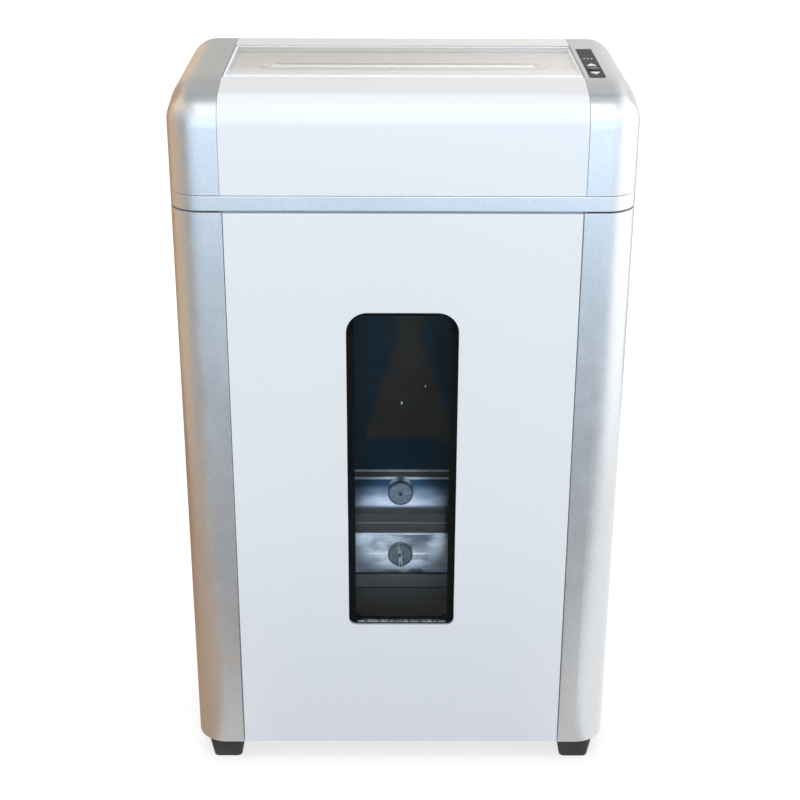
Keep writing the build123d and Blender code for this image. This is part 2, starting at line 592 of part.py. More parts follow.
def disc_path(cy, cz, phase, teeth=4):
    """Corner points of a hooked cutting disc: radial hook faces and ramps between arcs."""
    pts = []
    for k in range(teeth):
        a = phase + 2 * math.pi * k / teeth
        for r, da in ((DISC_R, 0.0), (DISC_R - 3.2, 0.02), (DISC_R, 0.55), (DISC_R, 0.80), (DISC_R, 1.05), (DISC_R, 1.30)):
            pts.append((cy + r * math.cos(a + da), cz + r * math.sin(a + da)))
    return pts


with BuildPart() as rear_cutter:
    rod_x(REAR_Y, CUT_Z, CORE_R, -112.0, 112.0)
    rod_x(REAR_Y, CUT_Z, JOURNAL_R, -145.0, 123.0)
    for g in range(6):
        with BuildSketch(*[Plane.YZ.offset(x - DISC_T / 2) for x in REAR_X[g::6]]):
            with BuildLine():
                Polyline(*disc_path(REAR_Y, CUT_Z, g * math.pi / 12), close=True)
            make_face()
        extrude(amount=DISC_T)
rear_cutter.part.label = "rear_cutter"
export_step(rear_cutter.part, "parts/rear_cutter.step")

with BuildPart() as front_cutter:
    rod_x(FRONT_Y, CUT_Z, CORE_R, -112.0, 112.0)
    rod_x(FRONT_Y, CUT_Z, JOURNAL_R, -135.0, 123.0)
    for g in range(6):
        with BuildSketch(*[Plane.YZ.offset(x - DISC_T / 2) for x in FRONT_X[g::6]]):
            with BuildLine():
                Polyline(*disc_path(FRONT_Y, CUT_Z, -g * math.pi / 12), close=True)
            make_face()
        extrude(amount=DISC_T)
front_cutter.part.label = "front_cutter"
export_step(front_cutter.part, "parts/front_cutter.step")

with BuildPart() as front_stripper:
    span(-PLATE_X, PLATE_X, -58.0, -52.5, 583.0, 597.0)
    for x in REAR_X[1:-1]:
        span(x - 1.7, x + 1.7, -54.0, FRONT_Y - 13.2, 584.0, 596.0)
front_stripper.part.label = "front_stripper"
export_step(front_stripper.part, "parts/front_stripper.step")

with BuildPart() as rear_stripper:
    span(-PLATE_X, PLATE_X, 26.5, 32.0, 583.0, 597.0)
    for x in FRONT_X:
        span(x - 1.7, x + 1.7, REAR_Y + 13.2, 28.0, 584.0, 596.0)
rear_stripper.part.label = "rear_stripper"
export_step(rear_stripper.part, "parts/rear_stripper.step")

# gear train on the left of the mechanism
with BuildPart() as rear_sync_gear:
    with BuildSketch(Plane.YZ.offset(-134.0)):
        with BuildLine():
            Polyline(*gear_points(M_SYNC, N_SYNC, REAR_Y, CUT_Z, math.pi), close=True)
        make_face()
        with Locations((REAR_Y, CUT_Z)):
            Circle(JOURNAL_R, mode=Mode.SUBTRACT)
    extrude(amount=10.0)
rear_sync_gear.part.label = "rear_sync_gear"
export_step(rear_sync_gear.part, "parts/rear_sync_gear.step")

with BuildPart() as front_sync_gear:
    with BuildSketch(Plane.YZ.offset(-134.0)):
        with BuildLine():
            Polyline(*gear_points(M_SYNC, N_SYNC, FRONT_Y, CUT_Z, math.pi / N_SYNC), close=True)
        make_face()
        with Locations((FRONT_Y, CUT_Z)):
            Circle(JOURNAL_R, mode=Mode.SUBTRACT)
    extrude(amount=10.0)
front_sync_gear.part.label = "front_sync_gear"
export_step(front_sync_gear.part, "parts/front_sync_gear.step")

with BuildPart() as drive_gear:
    with BuildSketch(Plane.YZ.offset(-144.0)):
        with BuildLine():
            Polyline(*gear_points(M_FIN, N_FIN, REAR_Y, CUT_Z, IDLE_ANG), close=True)
        make_face()
        with Locations((REAR_Y, CUT_Z)):
            Circle(JOURNAL_R, mode=Mode.SUBTRACT)
    extrude(amount=8.0)
drive_gear.part.label = "drive_gear"
export_step(drive_gear.part, "parts/drive_gear.step")

MESH_ANG = math.atan2(MOT_Z - IDLE_Z, MOT_Y - IDLE_Y)

with BuildPart() as reduction_gear:
    with BuildSketch(Plane.YZ.offset(-152.0)):
        with BuildLine():
            Polyline(*gear_points(M_MOT, N_IDG, IDLE_Y, IDLE_Z, MESH_ANG), close=True)
        make_face()
    extrude(amount=6.5)
    with BuildSketch(Plane.YZ.offset(-145.5)):
        with BuildLine():
            Polyline(*gear_points(M_FIN, N_IDP, IDLE_Y, IDLE_Z, IDLE_ANG + math.pi + math.pi / N_IDP), close=True)
        make_face()
    extrude(amount=10.5)
    rod_x(IDLE_Y, IDLE_Z, 4.05, -160.0, -130.0, mode=Mode.SUBTRACT)
reduction_gear.part.label = "reduction_gear"
export_step(reduction_gear.part, "parts/reduction_gear.step")

with BuildPart() as idler_pin:
    rod_x(IDLE_Y, IDLE_Z, 4.0, -156.0, -PLATE_X)
idler_pin.part.label = "idler_pin"
export_step(idler_pin.part, "parts/idler_pin.step")

with BuildPart() as idler_spacers:
    rod_x(IDLE_Y, IDLE_Z, 6.5, -134.6, -PLATE_X - PLATE_T)
    rod_x(IDLE_Y, IDLE_Z, 7.0, -153.8, -152.5)
    rod_x(IDLE_Y, IDLE_Z, 4.0, -160.0, -110.0, mode=Mode.SUBTRACT)
idler_spacers.part.label = "idler_spacers"
export_step(idler_spacers.part, "parts/idler_spacers.step")

with BuildPart() as motor_pinion:
    with BuildSketch(Plane.YZ.offset(-152.6)):
        with BuildLine():
            Polyline(*gear_points(M_MOT, N_MOT, MOT_Y, MOT_Z, MESH_ANG + math.pi + math.pi / N_MOT), close=True)
        make_face()
        with Locations((MOT_Y, MOT_Z)):
            Circle(3.0, mode=Mode.SUBTRACT)
    extrude(amount=8.0)
motor_pinion.part.label = "motor_pinion"
export_step(motor_pinion.part, "parts/motor_pinion.step")

# ------------------------------------------------------------------ motor
with BuildPart() as motor_case:
    rod_x(MOT_Y, MOT_Z, MOT_R, -PLATE_X, -14.0)
    rod_x(MOT_Y, MOT_Z, MOT_R - 3.0, -PLATE_X + 4.0, -18.0, mode=Mode.SUBTRACT)
    rod_x(MOT_Y, MOT_Z, 10.0, -PLATE_X - 2.5, -PLATE_X + 1.0)
    rod_x(MOT_Y, MOT_Z, 3.05, -130.0, 0.0, mode=Mode.SUBTRACT)
    for y, z in MOTOR_SCREWS:
        rod_x(y, z, 2.1, -120.0, -113.0, mode=Mode.SUBTRACT)
    rim = [e for e in motor_case.edges().filter_by(GeomType.CIRCLE)
           if abs(e.radius - MOT_R) < 0.01 and e.center().X > -20.0]
    fillet(rim, 2.0)
motor_case.part.label = "motor_case"
export_step(motor_case.part, "parts/motor_case.step")

with BuildPart() as motor_rotor:
    rod_x(MOT_Y, MOT_Z, 3.0, -153.0, -2.0)
    rod_x(MOT_Y, MOT_Z, 26.0, -98.0, -42.0)
    rod_x(MOT_Y, MOT_Z, 10.0, -38.0, -24.0)
motor_rotor.part.label = "motor_rotor"
export_step(motor_rotor.part, "parts/motor_rotor.step")

with BuildPart() as motor_fan:
    rod_x(MOT_Y, MOT_Z, 7.0, -13.0, -3.0)
    rod_x(MOT_Y, MOT_Z, 27.0, -13.0, -11.4)
    for k in range(8):
        with BuildSketch(Plane.YZ.offset(-11.6)):
            with Locations((MOT_Y, MOT_Z)):
                with PolarLocations(16.0, 1, start_angle=45.0 * k):
                    Rectangle(19.0, 1.6)
        extrude(amount=7.6)
    rod_x(MOT_Y, MOT_Z, 3.0, -20.0, 0.0, mode=Mode.SUBTRACT)
motor_fan.part.label = "motor_fan"
export_step(motor_fan.part, "parts/motor_fan.step")

with BuildPart() as mechanism_screws:
    for y, z in MOTOR_SCREWS:
        rod_x(y, z, 4.0, -123.6, -PLATE_X - PLATE_T)
        rod_x(y, z, 2.0, -122.0, -114.5)
        span(-124.0, -122.4, y - 0.5, y + 0.5, z - 2.4, z + 2.4, mode=Mode.SUBTRACT)
    for sx in (-1, 1):
        for y in (-44.0, 30.0):
            rod_z(sx * 129.0, y, 4.0, 551.7, 554.3)
            rod_z(sx * 129.0, y, 2.0, 541.0, 552.5)
            span(sx * 129.0 - 2.4, sx * 129.0 + 2.4, y - 0.5, y + 0.5, 553.1, 555.0, mode=Mode.SUBTRACT)
mechanism_screws.part.label = "mechanism_screws"
export_step(mechanism_screws.part, "parts/mechanism_screws.step")

# ------------------------------------------------------------------ power side
STANDOFFS = [(14.0, 56.0), (106.0, 56.0), (14.0, 104.0), (106.0, 104.0)]

with BuildPart() as power_board:
    span(8.0, 112.0, 50.0, 110.0, 556.7, 558.3)
    for x, y in STANDOFFS:
        rod_z(x, y, 1.6, 550.0, 560.0, mode=Mode.SUBTRACT)
power_board.part.label = "power_board"
export_step(power_board.part, "parts/power_board.step")

with BuildPart() as board_standoffs:
    for x, y in STANDOFFS:
        rod_z(x, y, 3.0, 548.7, 556.7)
        rod_z(x, y, 1.4, 556.0, 559.3)
        rod_z(x, y, 2.6, 558.3, 560.3)
board_standoffs.part.label = "board_standoffs"
export_step(board_standoffs.part, "parts/board_standoffs.step")

with BuildPart() as power_board_parts:
    span(24.0, 56.0, 54.0, 84.0, 558.3, 586.0)
    span(62.0, 80.0, 56.0, 72.0, 558.3, 574.0)
    rod_z(94.0, 66.0, 8.0, 558.3, 584.0)
    rod_z(72.0, 84.0, 5.0, 558.3, 572.0)
    span(86.0, 104.0, 80.0, 88.0, 558.3, 570.0)
power_board_parts.part.label = "power_board_parts"
export_step(power_board_parts.part, "parts/power_board_parts.step")

with BuildPart() as mains_inlet:
    span(81.2, 108.8, 104.0, 127.6, 568.2, 587.8)
    span(78.0, 112.0, 121.5, 125.0, 565.0, 591.0)
    with BuildSketch(Plane.XZ.offset(-128.0)):
        with BuildLine():
            Polyline((83.2, 570.2), (106.8, 570.2), (106.8, 580.5), (101.5, 585.8), (88.5, 585.8), (83.2, 580.5), close=True)
        make_face()
    extrude(amount=17.0, mode=Mode.SUBTRACT)
    for x, z in ((88.0, 576.0), (95.0, 580.0), (102.0, 576.0)):
        span(x - 1.0, x + 1.0, 109.0, 124.0, z - 2.0, z + 2.0)
mains_inlet.part.label = "mains_inlet"
export_step(mains_inlet.part, "parts/mains_inlet.step")

SW_X, SW_Y, SW_Z, SW_TILT = 50.0, 121.5, 578.0, 0.14

with BuildPart() as power_switch:
    span(42.7, 57.3, 106.0, 127.4, 567.2, 588.8)
    span(39.5, 60.5, 121.5, 125.0, 564.0, 592.0)
    span(44.7, 55.3, 112.0, 128.0, 568.7, 587.3, mode=Mode.SUBTRACT)
    rod_x(SW_Y, SW_Z, 1.5, 43.0, 57.0)
power_switch.part.label = "power_switch"
export_step(power_switch.part, "parts/power_switch.step")

with BuildPart() as power_rocker:
    with BuildSketch(Plane.YZ.offset(45.0)):
        with BuildLine():
            raw = [(4.6, 0.0), (3.6, 7.6), (1.0, 7.8), (-2.6, 3.2), (-5.0, 1.2), (-5.0, -1.2), (-2.6, -3.2), (1.0, -7.8), (3.6, -7.6)]
            c, s = math.cos(SW_TILT), math.sin(SW_TILT)
            Polyline(*[(SW_Y + y * c - z * s, SW_Z + y * s + z * c) for y, z in raw], close=True)
        make_face()
    extrude(amount=10.0)
    rod_x(SW_Y, SW_Z, 1.56, 40.0, 60.0, mode=Mode.SUBTRACT)
power_rocker.part.label = "power_rocker"
export_step(power_rocker.part, "parts/power_rocker.step")

with BuildPart() as bin_switch:
    span(60.0, 80.0, 111.0, 120.0, 520.0, 531.0)
    span(64.0, 68.0, 107.0, 112.0, 522.0, 526.0)
bin_switch.part.label = "bin_switch"
export_step(bin_switch.part, "parts/bin_switch.step")

# ------------------------------------------------------------------ pull-out bin
BIN_SCREWS = [(sx * 96.0, z) for sx in (-1, 1) for z in (80.0, 290.0, 484.0)]

with BuildPart() as bin_front:
    with BuildSketch(Plane.XZ.offset(125.0)):
        with Locations((0, (DOOR_Z0 + DOOR_Z1) / 2)):
            Rectangle(2 * DOOR_X, DOOR_Z1 - DOOR_Z0)
    extrude(amount=3.0)
    fillet([e for e in bin_front.edges() if abs(e.center().Y + 128.0) < 0.01], 0.8)
    with BuildSketch(Plane.XZ.offset(120.0)):
        with Locations((0, (DOOR_Z0 + DOOR_Z1) / 2)):
            Rectangle(2 * DOOR_X, DOOR_Z1 - DOOR_Z0)
            Rectangle(2 * DOOR_X - 5.0, DOOR_Z1 - DOOR_Z0 - 5.0, mode=Mode.SUBTRACT)
    extrude(amount=5.2)
    for x, z in BIN_SCREWS:
        rod_y(x, z, 4.5, -125.2, -118.5)
        rod_y(x, z, 1.6, -124.5, -118.0, mode=Mode.SUBTRACT)
    with BuildSketch(Plane.XZ.offset(115.0)):
        with BuildLine():
            Polyline((-WIN_X, WIN_Z0), (WIN_X, WIN_Z0), (WIN_X, WIN_Z1), (-WIN_X, WIN_Z1), close=True)
        make_face()
    extrude(amount=20.0, mode=Mode.SUBTRACT)
    win = [e for e in bin_front.edges().filter_by(Axis.Y) if abs(abs(e.center().X) - WIN_X) < 0.01]
    fillet([e for e in win if e.center().Z > 300], 18.0)
    fillet([e for e in win if e.center().Z < 300], 7.0)
bin_front.part.label = "bin_front"
export_step(bin_front.part, "parts/bin_front.step")

with BuildPart() as window_pane:
    with BuildSketch(Plane.XZ.offset(125.0)):
        with Locations((0, (WIN_Z0 + WIN_Z1) / 2)):
            Rectangle(2 * WIN_X - 0.4, WIN_Z1 - WIN_Z0 - 0.4)
    extrude(amount=2.3)
    posts = window_pane.edges().filter_by(Axis.Y)
    fillet([e for e in posts if e.center().Z > 300], 17.8)
    fillet([e for e in posts if e.center().Z < 300], 6.8)
window_pane.part.label = "window_pane"
export_step(window_pane.part, "parts/window_pane.step")

with BuildPart() as window_bezel:
    with BuildSketch(Plane.XZ.offset(118.5)):
        with Locations((0, (WIN_Z0 + WIN_Z1) / 2)):
            RectangleRounded(112.0, WIN_Z1 - WIN_Z0 + 17.0, 14.0)
        with Locations((0, (WIN_Z0 + WIN_Z1) / 2)):
            RectangleRounded(2 * BEZ_X, WIN_Z1 - WIN_Z0 - 7.0, 8.0, mode=Mode.SUBTRACT)
    extrude(amount=6.5)
window_bezel.part.label = "window_bezel"
export_step(window_bezel.part, "parts/window_bezel.step")

BIN_X, BIN_Y0, BIN_Y1, BIN_Z0, BIN_Z1, BIN_T = 137.0, -118.5, 110.0, 46.0, 505.0, 2.5
LEDGES = [(192.0, 149.0, 169.5), (121.0, 80.0, 97.0)]
SCOOP_R = 24.0

with BuildPart() as waste_bin:
    with BuildSketch(Plane.XY.offset(BIN_Z0)):
        with Locations((0, (BIN_Y0 + BIN_Y1) / 2)):
            RectangleRounded(2 * BIN_X, BIN_Y1 - BIN_Y0, 10.0)
    extrude(amount=BIN_Z1 - BIN_Z0)
    with BuildSketch(Plane.XY.offset(BIN_Z0 + 3.0)):
        with Locations((0, (BIN_Y0 + BIN_Y1) / 2)):
            RectangleRounded(2 * (BIN_X - BIN_T), BIN_Y1 - BIN_Y0 - 2 * BIN_T, 7.5)
    extrude(amount=BIN_Z1, mode=Mode.SUBTRACT)
    # rolled rim along the top
    with BuildSketch(Plane.XY.offset(BIN_Z1 - 6.0)):
        with Locations((0, (BIN_Y0 + BIN_Y1) / 2)):
            RectangleRounded(2 * BIN_X + 5.0, BIN_Y1 - BIN_Y0, 11.0)
            RectangleRounded(2 * BIN_X - 0.5, BIN_Y1 - BIN_Y0 - 4.0, 9.0, mode=Mode.SUBTRACT)
    extrude(amount=6.0)
    # scooped ledges across the back wall
    wall = BIN_Y1 - BIN_T
    for top, low, mid in LEDGES:
        with BuildSketch(Plane.YZ.offset(-BIN_X + BIN_T + 0.0)):
            with BuildLine():
                h = math.sqrt(0.5) * SCOOP_R
                Polyline((wall + 0.5, top), (wall - 2.5, top - 1.2), (wall - 0.2, top - 7.5), (wall - 0.2, low + 2.5 + SCOOP_R))
                ThreePointArc((wall - 0.2, low + 2.5 + SCOOP_R), (wall - 0.2 - SCOOP_R + h, low + 2.5 + SCOOP_R - h),
                              (wall - 0.2 - SCOOP_R, low + 2.5))
                Polyline((wall - 0.2 - SCOOP_R, low + 2.5), (wall - 0.2 - SCOOP_R, low), (wall + 0.5, low - 7.0), (wall + 0.5, top))
            make_face()
        extrude(amount=2 * (BIN_X - BIN_T))
        rod_y(0.0, mid, 13.0, wall - 14.0, wall + 0.5)
        rod_y(0.0, mid, 2.2, wall - 15.2, wall - 5.0)
    # opening behind the window
    with BuildSketch(Plane.XZ.offset(110.0)):
        with Locations((0, (WIN_Z0 + WIN_Z1) / 2)):
            RectangleRounded(104.0, WIN_Z1 - WIN_Z0 + 8.0, 12.0)
    extrude(amount=12.0, mode=Mode.SUBTRACT)
    for x, z in BIN_SCREWS:
        rod_y(x, z, 1.7, -120.0, -112.0, mode=Mode.SUBTRACT)
waste_bin.part.label = "waste_bin"
export_step(waste_bin.part, "parts/waste_bin.step")

with BuildPart() as bin_screws:
    for x, z in BIN_SCREWS:
        rod_y(x, z, 3.6, -116.0, -113.8)
        rod_y(x, z, 1.5, -124.0, -115.0)
bin_screws.part.label = "bin_screws"
export_step(bin_screws.part, "parts/bin_screws.step")

with BuildPart() as bin_runners:
    for s in (-1, 1):
        xs = sorted((s * 114.0, s * 129.5))
        span(xs[0], xs[1], -108.0, 104.0, 44.2, 46.0)
        xs = sorted((s * 124.6, s * 129.5))
        span(xs[0], xs[1], -108.0, 104.0, 32.0, 46.0)
bin_runners.part.label = "bin_runners"
export_step(bin_runners.part, "parts/bin_runners.step")
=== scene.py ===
import json
import math

import bpy
from mathutils import Matrix, Vector

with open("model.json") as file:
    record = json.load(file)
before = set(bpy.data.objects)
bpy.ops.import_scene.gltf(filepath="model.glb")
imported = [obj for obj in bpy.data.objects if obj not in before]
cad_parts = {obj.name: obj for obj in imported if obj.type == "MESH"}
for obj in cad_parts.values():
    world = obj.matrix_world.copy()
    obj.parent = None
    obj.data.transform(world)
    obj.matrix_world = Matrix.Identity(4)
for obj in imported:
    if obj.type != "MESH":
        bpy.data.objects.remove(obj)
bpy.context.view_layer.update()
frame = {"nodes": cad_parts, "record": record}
N = frame["nodes"]
SCENE = bpy.context.scene


# ------------------------------------------------------------------ material helpers
class Mat:
    """A node material with one Principled shader, and short calls for the nodes that feed it."""

    def __init__(self, name):
        self.m = bpy.data.materials.new(name)
        self.m.use_nodes = True
        self.t = self.m.node_tree
        self.t.nodes.clear()
        self.out = self.n("ShaderNodeOutputMaterial")
        self.b = self.n("ShaderNodeBsdfPrincipled")
        self.link(self.b.outputs["BSDF"], self.out.inputs["Surface"])
        self._co = None

    def n(self, kind, **props):
        node = self.t.nodes.new(kind)
        for k, v in props.items():
            setattr(node, k, v)
        return node

    def link(self, a, b):
        self.t.links.new(a, b)

    def put(self, socket, value):
        if isinstance(value, bpy.types.NodeSocket):
            self.link(value, socket)
        else:
            socket.default_value = value

    def set(self, **values):
        for k, v in values.items():
            self.put(self.b.inputs[k.replace("_", " ")], v)
        return self

    def co(self, stretch=None):
        if self._co is None:
            self._co = self.n("ShaderNodeTexCoord").outputs["Object"]
        if stretch is None:
            return self._co
        mp = self.n("ShaderNodeMapping")
        mp.inputs["Scale"].default_value = stretch
        self.link(self._co, mp.inputs["Vector"])
        return mp.outputs["Vector"]

    def xyz(self):
        s = self.n("ShaderNodeSeparateXYZ")
        self.link(self.co(), s.inputs[0])
        return s.outputs

    def noise(self, scale, detail=2.0, rough=0.5, stretch=None, distort=0.0):
        x = self.n("ShaderNodeTexNoise")
        self.link(self.co(stretch), x.inputs["Vector"])
        x.inputs["Scale"].default_value = scale
        x.inputs["Detail"].default_value = detail
        x.inputs["Roughness"].default_value = rough
        x.inputs["Distortion"].default_value = distort
        return x.outputs["Fac"]

    def cells(self, scale, what="Color", feature="F1"):
        x = self.n("ShaderNodeTexVoronoi", feature=feature)
        self.link(self.co(), x.inputs["Vector"])
        x.inputs["Scale"].default_value = scale
        if what == "Color":
            s = self.n("ShaderNodeSeparateColor")
            self.link(x.outputs["Color"], s.inputs[0])
            return s.outputs[0]
        return x.outputs[what]

    def remap(self, value, a, b, lo, hi, smooth=False):
        r = self.n("ShaderNodeMapRange", interpolation_type="SMOOTHSTEP" if smooth else "LINEAR")
        self.put(r.inputs["Value"], value)
        for k, v in zip(("From Min", "From Max", "To Min", "To Max"), (a, b, lo, hi)):
            r.inputs[k].default_value = v
        return r.outputs["Result"]

    def math(self, op, a, b=0.0, clamp=False):
        x = self.n("ShaderNodeMath", operation=op, use_clamp=clamp)
        self.put(x.inputs[0], a)
        self.put(x.inputs[1], b)
        return x.outputs[0]

    def mix(self, fac, a, b, kind="MIX"):
        x = self.n("ShaderNodeMix", data_type="RGBA", blend_type=kind)
        self.put(x.inputs[0], fac)
        for s, v in ((x.inputs[6], a), (x.inputs[7], b)):
            self.put(s, v if isinstance(v, bpy.types.NodeSocket) else (*v, 1.0))
        return x.outputs[2]

    def bump(self, height, strength, distance, normal=None):
        x = self.n("ShaderNodeBump")
        x.inputs["Strength"].default_value = strength
        x.inputs["Distance"].default_value = distance
        self.link(height, x.inputs["Height"])
        if normal is not None:
            self.link(normal, x.inputs["Normal"])
        return x.outputs["Normal"]


    def soft_edge(self, radius):
        x = self.n("ShaderNodeBevel", samples=4)
        x.inputs["Radius"].default_value = radius
        return x.outputs["Normal"]


def plastic(name, a, b, rough, grain, grain_h, broad=7.0, ior=1.5, coat=0.0, peel=0.0, edge=0.0):
    """Moulded plastic: two close tones in broad clouds, gloss that varies, and a moulded grain."""
    k = Mat(name)
    cloud = k.noise(broad, 4.0, 0.6)
    fine = k.noise(grain, 3.0, 0.6)
    tone = k.remap(k.math("ADD", k.math("MULTIPLY", cloud, 0.75), k.math("MULTIPLY", fine, 0.25)), 0.3, 0.7, 0.0, 1.0)
    k.set(Base_Color=k.mix(tone, a, b), IOR=ior, Coat_Weight=coat, Coat_Roughness=0.12)
    k.set(Roughness=k.remap(k.noise(broad * 6, 3.0, 0.6), 0.3, 0.7, rough[0], rough[1]))
    normal = k.bump(fine, 0.35, grain_h, k.soft_edge(edge) if edge else None)
    if peel:
        normal = k.bump(k.noise(85.0, 2.0, 0.5), 0.3, peel, normal)
    k.set(Normal=normal)
    return k


def metal(name, a, b, rough, stretch, scale=60.0, height=0.00004, ior=1.5):
    """Machined or rolled metal with its tool marks drawn out along one direction."""
    k = Mat(name)
    lines = k.noise(scale, 5.0, 0.65, stretch=stretch)
    stain = k.noise(22.0, 4.0, 0.6)
    tone = k.remap(k.math("ADD", k.math("MULTIPLY", lines, 0.5), k.math("MULTIPLY", stain, 0.5)), 0.35, 0.65, 0.0, 1.0)
    k.set(Base_Color=k.mix(tone, a, b), Metallic=1.0, IOR=ior)
    k.set(Roughness=k.remap(lines, 0.3, 0.7, rough[0], rough[1]))
    k.set(Normal=k.bump(lines, 0.4, height))
    return k


# ------------------------------------------------------------------ finishes
M = {}

k = Mat("white_moulding")
x, y, z = k.xyz()
cloud = k.noise(2.5, 2.0, 0.5)
shell = k.mix(k.remap(cloud, 0.1, 0.9, 0.0, 1.0, smooth=True), (0.738, 0.747, 0.764), (0.746, 0.755, 0.772))
# painted shade: the moulding is painted darker towards the bottom, below z 0.34 m
shell = k.mix(k.remap(z, 0.04, 0.34, 1.0, 0.0, smooth=True), shell, (0.686, 0.688, 0.720))
# painted highlight: the moulding is painted lighter over the front ridge
ridge = k.math("MULTIPLY", k.remap(y, -0.1045, -0.1140, 0.0, 1.0, smooth=True), k.remap(z, 0.6110, 0.6320, 0.45, 1.0))
ridge = k.math("MULTIPLY", ridge, k.remap(z, 0.6125, 0.6170, 0.0, 1.0, smooth=True))
shell = k.mix(ridge, shell, (0.872, 0.875, 0.880))
# painted highlight: the lip of the feed slot, and its funnel low down and at the ends, are painted near white (the lip
# is also given a glossier coat); painted shade: the funnel's upper part and a line on the deck at the lip's foot are
# painted grey
wide = k.math("ABSOLUTE", x)
past, across = k.math("MAXIMUM", k.math("SUBTRACT", wide, 0.1105), 0.0), k.math("ADD", y, 0.013)
off = k.math("SQRT", k.math("ADD", k.math("MULTIPLY", past, past), k.math("MULTIPLY", across, across)))
low = k.remap(z, 0.6366, 0.6368, 1.0, 0.0)
lip = k.math("MULTIPLY", k.remap(z, 0.6352, 0.6354, 0.0, 1.0), k.math("MULTIPLY", low, k.remap(off, 0.0100, 0.0102, 1.0, 0.0)))
mouth = k.math("MULTIPLY", k.remap(z, 0.6330, 0.6333, 0.0, 1.0), low)
mouth = k.math("MULTIPLY", mouth, k.math("MULTIPLY", k.remap(off, 0.0081, 0.0083, 1.0, 0.0), k.remap(wide, 0.1186, 0.1188, 1.0, 0.0)))
painted_lip_foot_shadow = k.math("MULTIPLY", k.remap(y, -0.0262, -0.0248, 0.0, 1.0), k.remap(y, -0.0232, -0.0230, 1.0, 0.0))
painted_lip_foot_shadow = k.math("MULTIPLY", painted_lip_foot_shadow, k.math("MULTIPLY", k.remap(wide, 0.116, 0.121, 1.0, 0.0), k.remap(z, 0.6340, 0.6345, 0.0, 1.0)))
lip = k.math("MULTIPLY", lip, k.math("SUBTRACT", 1.0, mouth))
upper = k.math("MULTIPLY", mouth, k.math("MULTIPLY", k.remap(z, 0.6346, 0.6350, 0.0, 1.0), k.remap(wide, 0.1080, 0.1120, 1.0, 0.0)))
throat = k.math("SUBTRACT", mouth, upper)
lip = k.math("MAXIMUM", lip, throat)
painted_slot_shade = k.math("MAXIMUM", upper, k.math("MULTIPLY", painted_lip_foot_shadow, k.math("SUBTRACT", 1.0, lip)))
k.set(Base_Color=k.mix(lip, k.mix(painted_slot_shade, shell, (0.50, 0.51, 0.53)), (0.965, 0.985, 0.998)), IOR=1.5)
k.set(Metallic=k.math("MULTIPLY", throat, 0.55), Coat_Weight=k.remap(lip, 0.0, 1.0, 0.12, 0.6), Coat_Roughness=0.1)
k.set(Roughness=k.math("SUBTRACT", k.remap(cloud, 0.1, 0.9, 0.265, 0.275), k.math("MULTIPLY", lip, 0.14)), Normal=k.soft_edge(0.0007))
M["white"] = k

k = Mat("silver_paint")
x, y, z = k.xyz()
# the paint lies thicker, with less bare flake, over the flat sides and the back
back = k.remap(y, 0.1180, 0.1260, 0.0, 1.0, smooth=True)
flat = k.math("MULTIPLY", k.remap(k.math("ABSOLUTE", x), 0.1860, 0.1905, 0.0, 1.0, smooth=True), k.remap(y, -0.100, -0.070, 0.0, 1.0, smooth=True))
flake = k.cells(1150.0)
flake2 = k.cells(2300.0)
glint = k.math("ADD", k.math("MULTIPLY", flake, 0.65), k.math("MULTIPLY", flake2, 0.35))
cloud = k.noise(9.0, 4.0, 0.6)
tone = k.math("ADD", k.remap(glint, 0.1, 0.9, 0.0, 0.8), k.remap(cloud, 0.35, 0.65, 0.0, 0.2))
k.set(Base_Color=k.mix(tone, (0.545, 0.567, 0.593), (0.665, 0.688, 0.717)), Metallic=k.math("MINIMUM", k.remap(flat, 0.0, 1.0, 0.82, 0.38), k.remap(back, 0.0, 1.0, 0.82, 0.10)), IOR=1.5, Coat_Weight=0.22, Coat_Roughness=0.16)
k.set(Roughness=k.remap(k.noise(60.0, 3.0, 0.6), 0.3, 0.7, 0.31, 0.39))
k.set(Normal=k.bump(glint, 0.16, 0.00008, k.soft_edge(0.0007)))
M["silver"] = k

M["grey_panel"] = plastic("rear_moulding", (0.56, 0.57, 0.585), (0.61, 0.62, 0.635), (0.48, 0.58), 900.0, 0.00016, broad=6.0)
M["black_frame"] = plastic("black_grained", (0.016, 0.016, 0.018), (0.028, 0.028, 0.031), (0.42, 0.55), 1100.0, 0.00012, broad=14.0)

k = Mat("bin_moulding")
x, y, z = k.xyz()
up = k.n("ShaderNodeSeparateXYZ")
k.link(k.n("ShaderNodeNewGeometry").outputs["Normal"], up.inputs[0])
up = up.outputs[2]
at_back = k.remap(y, 0.0800, 0.0806, 0.0, 1.0)
clouds = k.noise(30.0, 3.0, 0.6, stretch=(1.0, 1.0, 2.5))
fine = k.noise(240.0, 3.0, 0.6, stretch=(0.5, 1.0, 1.0))
off_mid = k.math("ABSOLUTE", x)


def both(*parts):
    out = parts[0]
    for q in parts[1:]:
        out = k.math("MULTIPLY", out, q)
    return out


def band(z0, z1, soft=0.0006):
    return both(k.remap(z, z0 - soft, z0 + soft, 0.0, 1.0), k.remap(z, z1 - soft, z1 + soft, 1.0, 0.0))


def from_axis(height):
    dz = k.math("SUBTRACT", z, height)
    return k.math("SQRT", k.math("ADD", k.math("MULTIPLY", x, x), k.math("MULTIPLY", dz, dz)))
